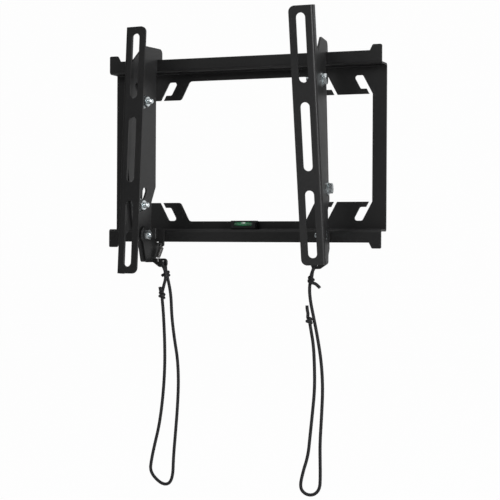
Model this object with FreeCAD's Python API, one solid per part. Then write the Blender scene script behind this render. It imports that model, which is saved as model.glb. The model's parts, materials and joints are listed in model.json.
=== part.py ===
"""Tilting wall mount for a flat screen.

A folded wall plate carries two hook arms that slide along its rails. Each arm carries a
slotted screen bracket that tilts on two bolts in curved slots, and a sprung latch that
grips the lower rail and is released by a pull cord. A bubble level sits on the lower rail.

Frame: X along the rails, Y into the wall, Z up, millimetres. The origin is the centre of
the wall plate's back face. Sides are drawn at +X and mirrored for the left.
"""
import FreeCAD
import Part
import math
import os

Vec = FreeCAD.Vector

# Sheet metal
sheet = 2.0
bend_inner = 1.0
bend_outer = bend_inner + sheet
side_gap = 0.3

# Wall plate: a frame with a rail folded along its upper and its lower edge
plate_width = 300.0
upright_width = 14.4
opening_half_height = 73.5
tab_edge = 54.0
tab_inner_x = 65.0
tab_slope = 10.0
tab_corner = 4.0
rail_strip = 10.5
rail_reach = 19.4
lip_rise = 11.2
lug_rise = 5.8
lug_tip_width = 9.3
lug_slope = 3.0
lug_corner = 1.5

# Slanted screw notches, two in each corner tab
notch_slit = 3.8
notch_width = 10.0
notch_lean = 28.5
notch_finger = 5.3
notch_depth = 19.0
notch_corner = 2.5
inner_notch_x = 98.6

# Bubble level on the lower rail
level_length = 27.0
level_depth = 9.5
level_height = 9.0
level_edge = 1.2
vial_length = 23.0
vial_radius = 2.9
vial_room = 0.1
window_length = 20.5

# Screen bracket: a slotted face and a side flange that is deep between the bolts
fold_x = 101.0
bracket_width = 24.0
bracket_height = 250.0
bracket_corner = 6.0
face_stand_off = 81.0
flange_end_depth = 12.0
flange_depth = 40.0
flange_deep_half = 66.0
flange_slope_run = 19.0
flange_corner = 5.0
slot_width = 9.0
slot_length = 66.2
slot_pitch = 85.0
slot_from_fold = 12.5

# Tilt: the bracket turns about an axis in front of its face
tilt_axis_y = -121.0
tilt_back = 3.5
tilt_forward = 8.6
bolt_behind_face = 31.0
bolt_half_pitch = 53.5
bolt_radius = 3.0
bolt_hole_room = 0.1
tilt_slot_room = 0.4

# How the arms hang at rest, where their hooks have play: turned outwards, leaning outwards
# at the lower end and moved along the rail
right_hang = {"turn": 8.7, "lean": 1.7, "inward": 6.4}
left_hang = {"turn": 6.8, "lean": 0.0, "inward": 2.8}

# Bolt, washer and flange nut
head_flats = 10.0
head_height = 4.0
washer_radius = 7.0
washer_thickness = 1.2
nut_gap = 0.2
nut_flange_radius = 7.0
nut_flange_thickness = 1.6
nut_height = 6.0
bolt_tip = 5.0
thread_room = 0.05

# Hook arm
arm_sheet = 2.0
hook_cover = 11.8
hook_front = -45.0
hook_rear = -10.0
hook_tongue = 8.2
hook_play = 0.5
hook_seat_gap = 0.3
arm_back = -22.0
arm_back_low = -30.0
arm_step_top = -38.0
arm_step_bottom = -54.0
arm_face_gap = 1.5
arm_shoulder_drop = 24.0
arm_knee_rise = 15.2
arm_toe_drop = 20.8
arm_toe_front = -47.5
arm_toe_rear = -34.0
arm_ankle_y = -53.5
arm_ankle_rise = 1.2
hook_front_corner = 4.0
hook_rear_corner = 5.0
tongue_corner = 1.5
throat_corner = 0.5
throat_slope = 4.0
arm_corner = 3.0
arm_face_corner = 8.0
arm_face_bend = 60.0
stay_height = 13.5
stay_lip_cover = 0.2
stay_reach = 9.7
stay_gap = 0.3
stay_ear_width = 6.0
stay_ear_drop = 5.0
spring_hole_radius = 1.25
spring_hole_inset = 2.3

# Latch pawl
pawl_sheet = 2.2
pivot_y = -44.5
pivot_rise = 7.2
pawl_head_radius = 9.0
pawl_corner = 3.0
pawl_shield_rise = 4.0
pawl_stay_gap = 1.3
pawl_toe_drop = 21.3
pawl_toe_front = -43.0
pivot_radius = 2.5
pivot_room = 0.05
pivot_nut_flats = 9.0
pivot_nut_height = 4.5
pivot_tip = 2.0
pivot_tail_radius = 4.5
pivot_tail_thickness = 1.2
claw_under_gap = 0.6
claw_thickness = 5.5
claw_gap = 1.4
claw_width = 3.6
claw_rise = 4.2
claw_root = 0.2
claw_corner = 1.0
foot_y = -26.0
foot_thickness = 2.5
foot_drop = 17.3
foot_height = 9.0
foot_reach = 14.4
foot_corner = 3.5
eye_inset = 4.5
eye_radius = 2.3
foot_spring_reach = 3.4

# Latch spring
spring_outer = 4.6
spring_wire = 0.7
spring_loop_radius = 1.9

# Pull cords, with the points of their routes
cord_diameter = 3.4
bend_share = 0.45
knot_length = 9.0
knot_radius = 3.6
knot_shoulder = 0.8
knot_shoulder_place = 0.75
tail_length = 9.0
left_cord_route = [
    (-82.0, -31.5, -149.0), (-80.6, -32.0, -141.0), (-79.0, -33.0, -133.0),
    (-79.5, -33.0, -124.5), (-82.9, -31.8, -117.0), (-81.9, -23.5, -117.0),
    (-80.3, -22.6, -125.0), (-76.8, -24.2, -134.0), (-73.8, -27.0, -150.0),
    (-71.5, -30.0, -172.0), (-68.0, -30.5, -196.0), (-64.5, -30.0, -216.0),
    (-63.5, -29.5, -240.0), (-64.5, -30.0, -268.0), (-66.5, -30.5, -295.0),
    (-68.8, -30.0, -319.0), (-69.8, -30.0, -338.0), (-76.8, -30.0, -346.5),
    (-87.2, -30.0, -346.5), (-94.5, -30.0, -339.0), (-93.0, -30.0, -323.0),
    (-89.8, -30.5, -305.0), (-85.0, -31.0, -287.0), (-82.0, -30.5, -266.0),
    (-80.0, -30.0, -243.0), (-79.2, -29.5, -220.0), (-79.4, -30.0, -197.0),
    (-80.2, -30.5, -178.0), (-81.0, -31.0, -163.0), (-82.0, -31.5, -152.6),
]
right_cord_route = [
    (83.0, -33.3, -131.8), (86.2, -33.4, -124.8), (85.9, -32.3, -117.3),
    (84.7, -24.0, -117.3), (82.0, -23.6, -124.8), (79.6, -26.0, -132.2),
    (79.2, -28.9, -141.0), (81.3, -30.3, -154.0), (85.5, -30.5, -171.0),
    (90.0, -30.5, -193.0), (93.0, -30.0, -216.0), (94.0, -29.5, -241.0),
    (93.0, -30.0, -268.0), (91.6, -30.5, -295.0), (91.8, -30.0, -316.0),
    (92.0, -30.0, -329.0), (91.5, -30.0, -340.5), (85.4, -30.0, -347.0),
    (76.6, -30.0, -347.0), (70.3, -30.0, -340.5), (73.5, -30.0, -325.0),
    (79.0, -30.0, -308.0), (81.0, -30.0, -288.0), (83.6, -30.5, -265.0),
    (86.0, -31.0, -241.0), (85.4, -31.0, -217.0), (83.6, -31.0, -197.0),
    (83.0, -32.0, -183.0), (84.6, -33.9, -173.5),
]
left_knots = [((-82.0, -31.5, -150.8), (0.1, -0.1, 1.0), (-0.6, -0.6, 1.0))]
right_knots = [
    ((81.2, -29.6, -132.4), (0.2, -0.2, 1.0), (0.75, -0.2, -0.6)),
    ((85.0, -31.6, -172.0), (0.2, -0.1, 1.0), (-0.5, -0.3, 1.0)),
]

# Places worked out from the sizes above
half_width = plate_width / 2
rail_half_height = opening_half_height + rail_strip
lip_edge = rail_half_height + lip_rise
lug_edge = lip_edge + lug_rise
upright_inner_x = half_width - upright_width
lip_front = -rail_reach
lip_back = lip_front + sheet
flange_inner_x = fold_x - sheet
arm_outer_x = flange_inner_x - side_gap
arm_inner_x = arm_outer_x - arm_sheet
pawl_outer_x = arm_inner_x - side_gap
pawl_inner_x = pawl_outer_x - pawl_sheet
face_y = -face_stand_off
hook_top = lip_edge + hook_cover
hook_tongue_bottom = lip_edge - hook_tongue
arm_shoulder_z = hook_top - arm_shoulder_drop
arm_knee_z = -lip_edge + arm_knee_rise
arm_ankle_z = -lip_edge + arm_ankle_rise
arm_bottom = -lip_edge - arm_toe_drop
stay_bottom = -lip_edge + stay_lip_cover
stay_top = stay_bottom + stay_height
stay_inner_x = arm_inner_x - stay_reach
pivot_z = -lip_edge + pivot_rise
foot_top = -lip_edge - foot_drop
foot_bottom = foot_top - foot_height
foot_inner_x = pawl_inner_x - foot_reach
foot_spring_x = pawl_inner_x - foot_spring_reach
eye_x = foot_inner_x + eye_inset
eye_z = foot_top - foot_height / 2
bolt_y = face_y + bolt_behind_face
foot_spring_z = foot_top - spring_hole_inset
overshoot = 5.0


def in_yz(x):
    return lambda a, b: Vec(x, a, b)


def in_xz(y):
    return lambda a, b: Vec(a, y, b)


def in_xy(z):
    return lambda a, b: Vec(a, b, z)


def corner_points(before, corner, after):
    """Start, middle and end of the tangent arc that rounds one corner."""
    here = Vec(corner[0], corner[1], 0)
    back = Vec(before[0], before[1], 0).sub(here).normalize()
    ahead = Vec(after[0], after[1], 0).sub(here).normalize()
    half = back.getAngle(ahead) / 2
    radius = corner[2]
    setback = radius / math.tan(half)
    middle_way = back.add(ahead).normalize()
    middle = here + middle_way * (radius / math.sin(half) - radius)
    return here + back * setback, middle, here + ahead * setback


def rounded_outline(corners, place):
    """Closed wire through (a, b, radius) corners; a radius of 0 leaves a corner sharp."""
    spans = []
    for i, corner in enumerate(corners):
        if corner[2] > 0:
            spans.append(corner_points(corners[i - 1], corner, corners[(i + 1) % len(corners)]))
        else:
            spans.append((Vec(corner[0], corner[1], 0),) * 3)
    edges = []
    for i, (start, middle, end) in enumerate(spans):
        if corners[i][2] > 0:
            arc = Part.Arc(place(start.x, start.y), place(middle.x, middle.y), place(end.x, end.y))
            edges.append(arc.toShape())
        following = spans[(i + 1) % len(spans)][0]
        edges.append(Part.makeLine(place(end.x, end.y), place(following.x, following.y)))
    return Part.Wire(edges)


def prism(corners, place, along):
    return Part.Face(rounded_outline(corners, place)).extrude(along)


def box(low, high):
    return Part.makeBox(high[0] - low[0], high[1] - low[1], high[2] - low[2], Vec(*low))


def rod(radius, start_x, end_x, y, z):
    """Round bar along X."""
    return Part.makeCylinder(radius, end_x - start_x, Vec(start_x, y, z), Vec(1, 0, 0))


def hexagon(flats, start_x, end_x, y, z):
    """Hexagonal bar along X, with a flat at the top and the bottom."""
    reach = flats / math.sqrt(3)
    corners = []
    for step in range(6):
        turn = math.radians(60 * step)
        corners.append((y + reach * math.cos(turn), z + reach * math.sin(turn), 0))
    return prism(corners, in_yz(start_x), Vec(end_x - start_x, 0, 0))


def mirrored(shape):
    return shape.mirror(Vec(0, 0, 0), Vec(1, 0, 0))


def upside_down(shape):
    return shape.mirror(Vec(0, 0, 0), Vec(0, 0, 1))


def four_corners(shape):
    upper = [shape, mirrored(shape)]
    return upper + [upside_down(one) for one in upper]


def screw_notch(outer_x):
    """Slanted window with a slit to the tab's edge, in the upper right corner tab."""
    lean = math.tan(math.radians(notch_lean))

    def at(inward, rise):
        return outer_x - inward - lean * rise, tab_edge + rise

    corners = [
        (outer_x, tab_edge - overshoot, 0),
        (outer_x, tab_edge, 0),
        at(0, notch_depth) + (notch_corner,),
        at(notch_width, notch_depth) + (notch_corner,),
        at(notch_width, notch_finger) + (notch_corner,),
        at(notch_slit, notch_finger) + (0,),
        (outer_x - notch_slit, tab_edge, 0),
        (outer_x - notch_slit, tab_edge - overshoot, 0),
    ]
    return prism(corners, in_xz(-sheet - 1), Vec(0, sheet + 2, 0))


def upper_rail():
    """The ledge folded forward from the plate and the lip folded up from it."""
    ledge_inner = rail_half_height - sheet
    join = opening_half_height + rail_strip / 8
    profile = [
        (0, join, 0),
        (0, rail_half_height, bend_outer),
        (lip_back, rail_half_height, bend_inner),
        (lip_back, lip_edge, 0),
        (lip_front, lip_edge, 0),
        (lip_front, ledge_inner, bend_outer),
        (-sheet, ledge_inner, bend_inner),
        (-sheet, join, 0),
    ]
    rail = prism(profile, in_yz(-half_width), Vec(plate_width, 0, 0))
    lug_inner = half_width - lug_tip_width
    lug = [
        (half_width, lip_edge - 1, 0),
        (half_width, lug_edge, lug_corner),
        (lug_inner, lug_edge, lug_corner),
        (lug_inner - lug_slope, lip_edge, 0),
        (lug_inner - lug_slope, lip_edge - 1, 0),
    ]
    stop = prism(lug, in_xz(lip_front), Vec(0, sheet, 0))
    return rail.fuse([stop, mirrored(stop)])


def wall_plate():
    reach = opening_half_height + rail_strip / 4
    blank = [
        (-half_width, -reach, 0),
        (half_width, -reach, 0),
        (half_width, reach, 0),
        (-half_width, reach, 0),
    ]
    flat = prism(blank, in_xz(-sheet), Vec(0, sheet, 0))
    quarter = [
        (upright_inner_x, tab_edge, 0),
        (tab_inner_x + tab_slope, tab_edge, tab_corner),
        (tab_inner_x, opening_half_height, tab_corner),
    ]
    left_half = [(-x, z, r) for x, z, r in reversed(quarter)]
    upper = quarter + left_half
    lower = [(x, -z, r) for x, z, r in reversed(upper)]
    window = prism(upper + lower, in_xz(-sheet - 1), Vec(0, sheet + 2, 0))
    rail = upper_rail()
    plate = flat.fuse([rail, upside_down(rail)])
    cuts = [window]
    for outer_x in (inner_notch_x, upright_inner_x):
        cuts += four_corners(screw_notch(outer_x))
    return plate.cut(cuts).removeSplitter()


def level_axis():
    front = -sheet - level_depth
    floor = -rail_half_height + sheet
    return front + vial_radius + level_edge / 2, floor + level_height - vial_radius - level_edge


def level_housing():
    floor = -rail_half_height + sheet
    front = -sheet - level_depth
    section = [
        (-sheet, floor, bend_outer),
        (-sheet, floor + level_height, level_edge),
        (front, floor + level_height, level_edge),
        (front, floor, level_edge),
    ]
    half = level_length / 2
    body = prism(section, in_yz(-half), Vec(level_length, 0, 0))
    axis_y, axis_z = level_axis()
    bore = rod(vial_radius + vial_room, -vial_length / 2, vial_length / 2, axis_y, axis_z)
    window = box((-window_length / 2, front - 1, axis_z - vial_radius / 2),
                 (window_length / 2, axis_y, floor + level_height + 1))
    return body.cut([bore, window])


def level_vial():
    axis_y, axis_z = level_axis()
    end = vial_length / 2 - vial_room
    vial = rod(vial_radius, -end, end, axis_y, axis_z)
    return vial.makeFillet(vial_radius / 4, vial.Edges[:1] + vial.Edges[2:])


def tilted(shape, degrees):
    turned = shape.copy()
    turned.rotate(Vec(0, tilt_axis_y, 0), Vec(1, 0, 0), degrees)
    return turned


def hung(shape, turn, lean, inward):
    """An arm's part as it hangs, turned about the point where the arm meets the rail."""
    corner = Vec(arm_outer_x, lip_front - stay_gap, lip_edge)
    moved = shape.copy()
    moved.rotate(corner, Vec(0, 0, 1), turn)
    moved.rotate(corner, Vec(0, 1, 0), -lean)
    moved.translate(Vec(-inward, 0, 0))
    return moved


def screen_bracket():
    half = bracket_height / 2
    free_x = fold_x - bracket_width
    inner_y = face_y + sheet
    section = [
        (free_x, face_y, 0),
        (fold_x, face_y, bend_outer),
        (fold_x, face_y + flange_depth, 0),
        (flange_inner_x, face_y + flange_depth, 0),
        (flange_inner_x, inner_y, bend_inner),
        (free_x, inner_y, 0),
    ]
    angle = prism(section, in_xy(-half), Vec(0, 0, bracket_height))
    face = [
        (free_x, -half, bracket_corner),
        (fold_x + 1, -half, 0),
        (fold_x + 1, half, 0),
        (free_x, half, bracket_corner),
    ]
    deep_y = face_y + flange_depth
    end_y = face_y + flange_end_depth
    slope_end = flange_deep_half + flange_slope_run
    side = [
        (face_y - 1, -half, 0),
        (end_y, -half, 0),
        (end_y, -slope_end, flange_corner),
        (deep_y, -flange_deep_half, flange_corner),
        (deep_y, flange_deep_half, flange_corner),
        (end_y, slope_end, flange_corner),
        (end_y, half, 0),
        (face_y - 1, half, 0),
    ]
    across = prism(face, in_xz(face_y - 1), Vec(0, flange_depth + 2, 0))
    along = prism(side, in_yz(free_x - 1), Vec(bracket_width + 2, 0, 0))
    bracket = angle.common(across).common(along)
    cuts = []
    for row in (-1, 0, 1):
        cuts.append(screen_slot(row * slot_pitch))
    for end in (-1, 1):
        hole_radius = bolt_radius + bolt_hole_room
        cuts.append(rod(hole_radius, free_x, fold_x + 1, bolt_y, end * bolt_half_pitch))
    return bracket.cut(cuts)


def screen_slot(middle_z):
    """Round-ended slot through the bracket's face."""
    centre_x = fold_x - slot_from_fold
    radius = slot_width / 2
    straight = slot_length - slot_width
    start = Vec(centre_x, face_y - 1, middle_z - straight / 2)
    through = Vec(0, 1, 0)
    lower_end = Part.makeCylinder(radius, sheet + 2, start, through)
    upper_end = Part.makeCylinder(radius, sheet + 2, start + Vec(0, 0, straight), through)
    run = box((centre_x - radius, face_y - 1, start.z),
              (centre_x + radius, face_y + sheet + 1, start.z + straight))
    return run.fuse([lower_end, upper_end])


def tilt_slot(end):
    """Curved slot in the arm that one bolt follows over the whole tilt; end is 1 or -1."""
    radius = math.hypot(bolt_y - tilt_axis_y, bolt_half_pitch)
    neutral = end * math.atan2(bolt_half_pitch, bolt_y - tilt_axis_y)
    first = neutral - math.radians(tilt_back)
    last = neutral + math.radians(tilt_forward)
    half = bolt_radius + tilt_slot_room
    place = in_yz(arm_inner_x - 1)

    def at(distance, turn):
        return place(tilt_axis_y + distance * math.cos(turn), distance * math.sin(turn))

    past = half / radius
    middle = (first + last) / 2
    edges = [
        Part.Arc(at(radius + half, first), at(radius + half, middle), at(radius + half, last)),
        Part.Arc(at(radius + half, last), at(radius, last + past), at(radius - half, last)),
        Part.Arc(at(radius - half, last), at(radius - half, middle), at(radius - half, first)),
        Part.Arc(at(radius - half, first), at(radius, first - past), at(radius + half, first)),
    ]
    wire = Part.Wire([edge.toShape() for edge in edges])
    return Part.Face(wire).extrude(Vec(arm_sheet + 2, 0, 0))


def arm_outline():
    """Side view of the hook arm, from the top of the hook round by the wall side."""
    nearest = face_y + sheet + arm_face_gap
    shoulder_y = nearest + arm_shoulder_z * math.tan(math.radians(tilt_back))
    knee_y = nearest - arm_knee_z * math.tan(math.radians(tilt_forward))
    tongue_front = lip_back + hook_play
    throat_front = lip_front - hook_play
    seat = lip_edge + hook_seat_gap
    return [
        (hook_front, hook_top, hook_front_corner),
        (hook_rear, hook_top, hook_rear_corner),
        (hook_rear, hook_tongue_bottom, tongue_corner),
        (tongue_front, hook_tongue_bottom, tongue_corner),
        (tongue_front, seat, throat_corner),
        (throat_front, seat, throat_corner),
        (throat_front, rail_half_height, tongue_corner),
        (arm_back, rail_half_height - throat_slope, tongue_corner),
        (arm_back, arm_step_top, arm_corner),
        (arm_back_low, arm_step_bottom, arm_corner),
        (arm_back_low, stay_bottom, arm_corner),
        (arm_toe_rear, arm_bottom, arm_corner),
        (arm_toe_front, arm_bottom, arm_corner),
        (arm_ankle_y, arm_ankle_z, arm_face_corner),
        (knee_y, arm_knee_z, arm_face_corner),
        (nearest, 0, arm_face_bend),
        (shoulder_y, arm_shoulder_z, arm_face_corner),
    ]


def arm_stay():
    """Tab folded inwards from the arm's lower end, resting in front of the lower lip."""
    back = lip_front - stay_gap
    section = [
        (arm_inner_x, arm_back_low - 2, 0),
        (arm_outer_x, arm_back_low - 2, 0),
        (arm_outer_x, back, bend_outer),
        (stay_inner_x, back, 0),
        (stay_inner_x, back - sheet, 0),
        (arm_inner_x, back - sheet, bend_inner),
    ]
    tab = prism(section, in_xy(stay_bottom), Vec(0, 0, stay_top - stay_bottom))
    ear_outer = stay_inner_x + stay_ear_width
    ear_bottom = stay_bottom - stay_ear_drop
    ear = [
        (stay_inner_x, stay_bottom + 1, 0),
        (stay_inner_x, ear_bottom, stay_ear_width / 3),
        (ear_outer, ear_bottom, stay_ear_width / 3),
        (ear_outer, stay_bottom + 1, 0),
    ]
    return tab.fuse(prism(ear, in_xz(back - sheet), Vec(0, sheet, 0)))


def stay_spring_hole():
    return stay_inner_x + stay_ear_width / 2, stay_bottom - stay_ear_drop + spring_hole_inset


def hook_arm():
    plate = prism(arm_outline(), in_yz(arm_inner_x), Vec(arm_sheet, 0, 0))
    arm = plate.fuse(arm_stay()).removeSplitter()
    hole_x, hole_z = stay_spring_hole()
    start = Vec(hole_x, lip_front - rail_reach / 2, hole_z)
    spring_hole = Part.makeCylinder(spring_hole_radius, rail_reach, start, Vec(0, 1, 0))
    pivot_hole = rod(pivot_radius + pivot_room, arm_inner_x - 1, arm_outer_x + 1, pivot_y, pivot_z)
    return arm.cut([tilt_slot(1), tilt_slot(-1), spring_hole, pivot_hole])


def tilt_bolt(end):
    z = end * bolt_half_pitch
    seat = fold_x + washer_thickness
    head = hexagon(head_flats, seat, seat + head_height, bolt_y, z)
    tip_x = arm_inner_x - nut_gap - nut_height - bolt_tip
    return head.fuse(rod(bolt_radius, tip_x, seat, bolt_y, z))


def tilt_washer(end):
    z = end * bolt_half_pitch
    disc = rod(washer_radius, fold_x, fold_x + washer_thickness, bolt_y, z)
    return disc.cut(rod(bolt_radius + bolt_hole_room, fold_x - 1, fold_x + washer_thickness + 1, bolt_y, z))


def tilt_nut(end):
    z = end * bolt_half_pitch
    seat = arm_inner_x - nut_gap
    flange = rod(nut_flange_radius, seat - nut_flange_thickness, seat, bolt_y, z)
    body = hexagon(head_flats, seat - nut_height, seat - nut_flange_thickness, bolt_y, z)
    bore = rod(bolt_radius + thread_room, seat - nut_height - 1, seat + 1, bolt_y, z)
    return flange.fuse(body).cut(bore)


def latch_pivot():
    """Stud fixed in the arm, with a hexagon nut; the pawl turns on it."""
    seat = pawl_inner_x - nut_gap
    nut_end = seat - pivot_nut_height
    shank = rod(pivot_radius, nut_end - pivot_tip, arm_outer_x, pivot_y, pivot_z)
    nut = hexagon(pivot_nut_flats, nut_end, seat, pivot_y, pivot_z)
    tail = rod(pivot_tail_radius, arm_outer_x, arm_outer_x + pivot_tail_thickness, pivot_y, pivot_z)
    return shank.fuse([nut, tail])


def latch_pawl():
    """Plate with a round head on the pivot, a claw behind the lower lip and a folded foot."""
    claw_top = -lip_edge + claw_rise
    under = -lip_edge - claw_under_gap
    toe = -lip_edge - pawl_toe_drop
    shield_top = under + pawl_shield_rise
    shield_back = lip_front - stay_gap - sheet - pawl_stay_gap
    claw_front = lip_back + claw_gap
    claw_back = claw_front + claw_width
    foot_front = foot_y - foot_thickness / 2
    foot_back = foot_y + foot_thickness / 2
    outline = [
        (pivot_y - pawl_head_radius, pivot_z, 0),
        (pivot_y + pawl_head_radius, pivot_z, 0),
        (pivot_y + pawl_head_radius, shield_top, claw_root),
        (shield_back, shield_top, claw_corner),
        (shield_back, under, claw_root),
        (claw_front, under, claw_root),
        (claw_front, claw_top, claw_corner),
        (claw_back, claw_top, claw_corner),
        (claw_back, under - claw_thickness, pawl_corner),
        (foot_back, foot_top, pawl_corner),
        (foot_back, toe, 0),
        (pawl_toe_front, toe, pawl_corner),
        (pivot_y - pawl_head_radius / 2, pivot_z - pawl_head_radius, 0),
    ]
    plate = prism(outline, in_yz(pawl_inner_x), Vec(pawl_sheet, 0, 0))
    head = rod(pawl_head_radius, pawl_inner_x, pawl_outer_x, pivot_y, pivot_z)
    foot_section = [
        (foot_inner_x, foot_bottom, foot_corner),
        (eye_x + eye_inset, foot_bottom, foot_corner),
        (pawl_outer_x, toe, 0),
        (pawl_outer_x, foot_top, 0),
        (foot_inner_x, foot_top, foot_corner),
    ]
    foot = prism(foot_section, in_xz(foot_front), Vec(0, foot_thickness, 0))
    pawl = plate.fuse([head, foot]).removeSplitter()
    pivot_hole = rod(pivot_radius + pivot_room, pawl_inner_x - 1, pawl_outer_x + 1, pivot_y, pivot_z)
    through = Vec(0, 1, 0)
    eye = Part.makeCylinder(eye_radius, foot_thickness + 2, Vec(eye_x, foot_front - 1, eye_z), through)
    spring_hole = Part.makeCylinder(spring_hole_radius, foot_thickness + 2,
                                    Vec(foot_spring_x, foot_front - 1, foot_spring_z), through)
    return pawl.cut([pivot_hole, eye, spring_hole])


def ring(centre):
    return Part.makeTorus(spring_loop_radius, spring_wire / 2, centre, Vec(1, 0, 0))


def latch_spring():
    """Close-wound coil drawn as a tube, with a round loop at each end."""
    hole_x, hole_z = stay_spring_hole()
    top_hole = Vec(hole_x, lip_front - stay_gap - sheet / 2, hole_z)
    bottom_hole = Vec(foot_spring_x, foot_y, foot_spring_z)
    drop = Vec(0, 0, spring_loop_radius)
    coil_start = top_hole - drop * 2
    coil_end = bottom_hole + drop * 2
    along = coil_end - coil_start
    outer = Part.makeCylinder(spring_outer / 2, along.Length, coil_start, along)
    inner = Part.makeCylinder(spring_outer / 2 - 2 * spring_wire, along.Length, coil_start, along)
    loops = [ring(centre) for centre in (top_hole - drop, bottom_hole + drop)]
    return outer.cut(inner).fuse(loops)


def cord(route, name):
    """Round cord along straight runs joined by arcs as large as the runs allow."""
    points = [Vec(*point) for point in route]
    edges = []
    last = points[0]
    tightest = None
    for before, here, after in zip(points, points[1:], points[2:]):
        back = before - here
        ahead = after - here
        setback = bend_share * min(back.Length, ahead.Length)
        turn = math.pi - back.getAngle(ahead)
        radius = setback / math.tan(turn / 2)
        tightest = radius if tightest is None else min(tightest, radius)
        back.normalize()
        ahead.normalize()
        start = here + back * setback
        end = here + ahead * setback
        inwards = (back + ahead).normalize()
        middle = here + inwards * (radius / math.cos(turn / 2) - radius)
        edges.append(Part.LineSegment(last, start).toShape())
        edges.append(Part.Arc(start, middle, end).toShape())
        last = end
    edges.append(Part.LineSegment(last, points[-1]).toShape())
    path = Part.Wire(edges)
    circle = Part.makeCircle(cord_diameter / 2, points[0], points[1] - points[0])
    tube = path.makePipeShell([Part.Wire(circle)], True, False)
    section = math.pi * cord_diameter ** 2 / 4
    print(name, "length", round(path.Length, 1), "tightest radius", round(tightest, 1),
          "volume ratio", round(tube.Volume / (section * path.Length), 4))
    return tube


def knot(centre, axis, tail_way):
    """Overhand knot drawn as a rounded barrel, with the cord's cut end standing out."""
    middle = Vec(*centre)
    half = knot_length / 2
    waist = cord_diameter / 2
    edge = knot_shoulder * knot_radius
    rise = knot_shoulder_place * half
    profile = Part.Wire([
        Part.makeLine(Vec(0, 0, -half), Vec(waist, 0, -half)),
        Part.Arc(Vec(waist, 0, -half), Vec(edge, 0, -rise), Vec(knot_radius, 0, 0)).toShape(),
        Part.Arc(Vec(knot_radius, 0, 0), Vec(edge, 0, rise), Vec(waist, 0, half)).toShape(),
        Part.makeLine(Vec(waist, 0, half), Vec(0, 0, half)),
        Part.makeLine(Vec(0, 0, half), Vec(0, 0, -half)),
    ])
    barrel = Part.Face(profile).revolve(Vec(0, 0, 0), Vec(0, 0, 1), 360)
    turn = FreeCAD.Rotation(Vec(0, 0, 1), Vec(*axis))
    barrel.Placement = FreeCAD.Placement(middle, turn)
    tail = Part.makeCylinder(cord_diameter / 2, knot_radius + tail_length, middle, Vec(*tail_way))
    return barrel.fuse(tail)


def save(name, shape):
    solids = shape.Solids
    if not shape.isValid() or not solids or min(solid.Volume for solid in solids) <= 0:
        raise ValueError(name + " is not a sound solid")
    whole = solids[0] if len(solids) == 1 else Part.makeCompound(solids)
    whole.exportStep(os.path.join("parts", name + ".step"))


def save_side(side, hang, place, rest_tilt):
    """The arm, bracket and latch of one side; place moves a +X shape to that side."""
    parts = {"hook_arm": hook_arm(), "latch_pivot": latch_pivot(), "latch_spring": latch_spring(),
             "latch_pawl": latch_pawl(), "screen_bracket": tilted(screen_bracket(), rest_tilt)}
    for height, end in (("upper", 1), ("lower", -1)):
        parts[height + "_tilt_bolt"] = tilted(tilt_bolt(end), rest_tilt)
        parts[height + "_tilt_washer"] = tilted(tilt_washer(end), rest_tilt)
        parts[height + "_tilt_nut"] = tilted(tilt_nut(end), rest_tilt)
    for name, shape in parts.items():
        save(side + "_" + name, place(hung(shape, **hang)))


def main():
    os.makedirs("parts", exist_ok=True)
    save("wall_plate", wall_plate())
    save("level_housing", level_housing())
    save("level_vial", level_vial())
    save_side("right", right_hang, lambda shape: shape, tilt_forward)
    save_side("left", left_hang, mirrored, -tilt_back)
    save("left_pull_cord", cord(left_cord_route, "left_pull_cord"))
    save("right_pull_cord", cord(right_cord_route, "right_pull_cord"))
    save("left_loop_knot", knot(*left_knots[0]))
    save("right_eye_knot", knot(*right_knots[0]))
    save("right_loop_knot", knot(*right_knots[1]))


main()
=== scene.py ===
# %% [markdown]
# # A tilting wall mount for a flat screen
#
# The mount is a folded steel plate with two rails. Two arms hook over the upper rail, each arm
# carries a slotted bracket, and a sprung latch with a pull cord grips the lower rail. The packed
# frame already has every solid in its place, in metres. This lesson gives the solids their
# finishes and builds the small things that a plain solid can't show: braided cord, tied knots,
# wound springs, threads and a bubble level.

# %% Load the frame
import json
import math

import bmesh
import bpy
from mathutils import Matrix, Vector


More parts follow.
